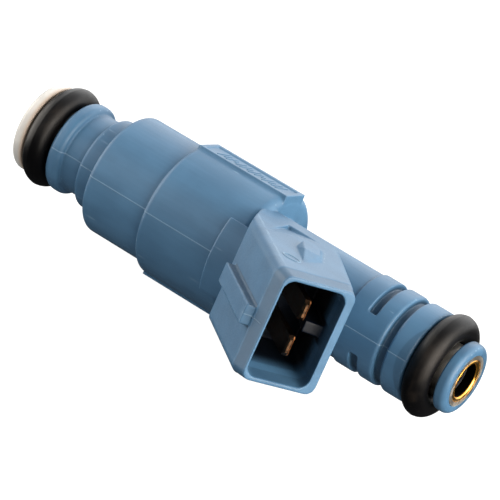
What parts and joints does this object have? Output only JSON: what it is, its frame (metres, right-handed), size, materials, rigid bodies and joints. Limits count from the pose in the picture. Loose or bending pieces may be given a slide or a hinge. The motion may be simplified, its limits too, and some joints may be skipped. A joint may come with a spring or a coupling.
{
  "type": "fuel injector",
  "caption": "Solenoid port fuel injector with a stepped plastic body, an O-ring at each end, an angled two-blade socket, a coil, a filter and a needle valve inside.",
  "frame": {"origin": "on the injector's axis, in the middle plane of the manifold O-ring", "axes": "+X along the axis from the nozzle to the fuel inlet, -Y towards the side that the plug socket stands on, +Z square to the plastic body's parting plane; the injector lies on the flat pad of its barrel"},
  "size_m": [0.0713, 0.0348, 0.0192],
  "materials": {
    "body_plastic": "satin moulded glass-filled nylon",
    "cap_plastic": "slightly translucent white nylon",
    "seal_rubber": "smooth oiled rubber",
    "steel": "turned",
    "stainless": "ground",
    "spring_steel": "drawn wire",
    "filter_brass": "bright drawn",
    "terminal_bronze": "rolled",
    "copper": "enamelled wire",
    "bobbin_plastic": "moulded",
    "screen": "woven nylon screen"
  },
  "bodies": {
    "injector": {"plastic_body": "body_plastic", "inlet_rim": "body_plastic", "tip_cap": "cap_plastic", "manifold_oring": "seal_rubber", "rail_oring": "seal_rubber", "valve_body": "steel", "inlet_tube": "steel", "nonmagnetic_sleeve": "stainless", "magnet_pot": "steel", "cover_washer": "steel", "coil_bobbin": "bobbin_plastic", "coil_winding": "copper", "coil_leads": "copper", "terminal_carrier": "bobbin_plastic", "terminal_upper": "terminal_bronze", "terminal_lower": "terminal_bronze", "valve_seat": "stainless", "orifice_plate": "stainless", "guide_ring": "stainless", "return_spring": "spring_steel", "adjusting_sleeve": "stainless", "filter_sleeve": "filter_brass", "filter_cage": "bobbin_plastic", "filter_mesh": "screen"},
    "valve": {"armature": "steel", "valve_needle": "stainless", "valve_ball": "stainless"}
  },
  "joints": [
    {"name": "needle_lift", "type": "slide", "parent": "injector", "child": "valve", "axis": [1, 0, 0], "range_m": [0, 0.0001], "stiffness_N_per_m": 60, "springref_m": -0.0004, "deforming": ["return_spring"]}
  ]
}
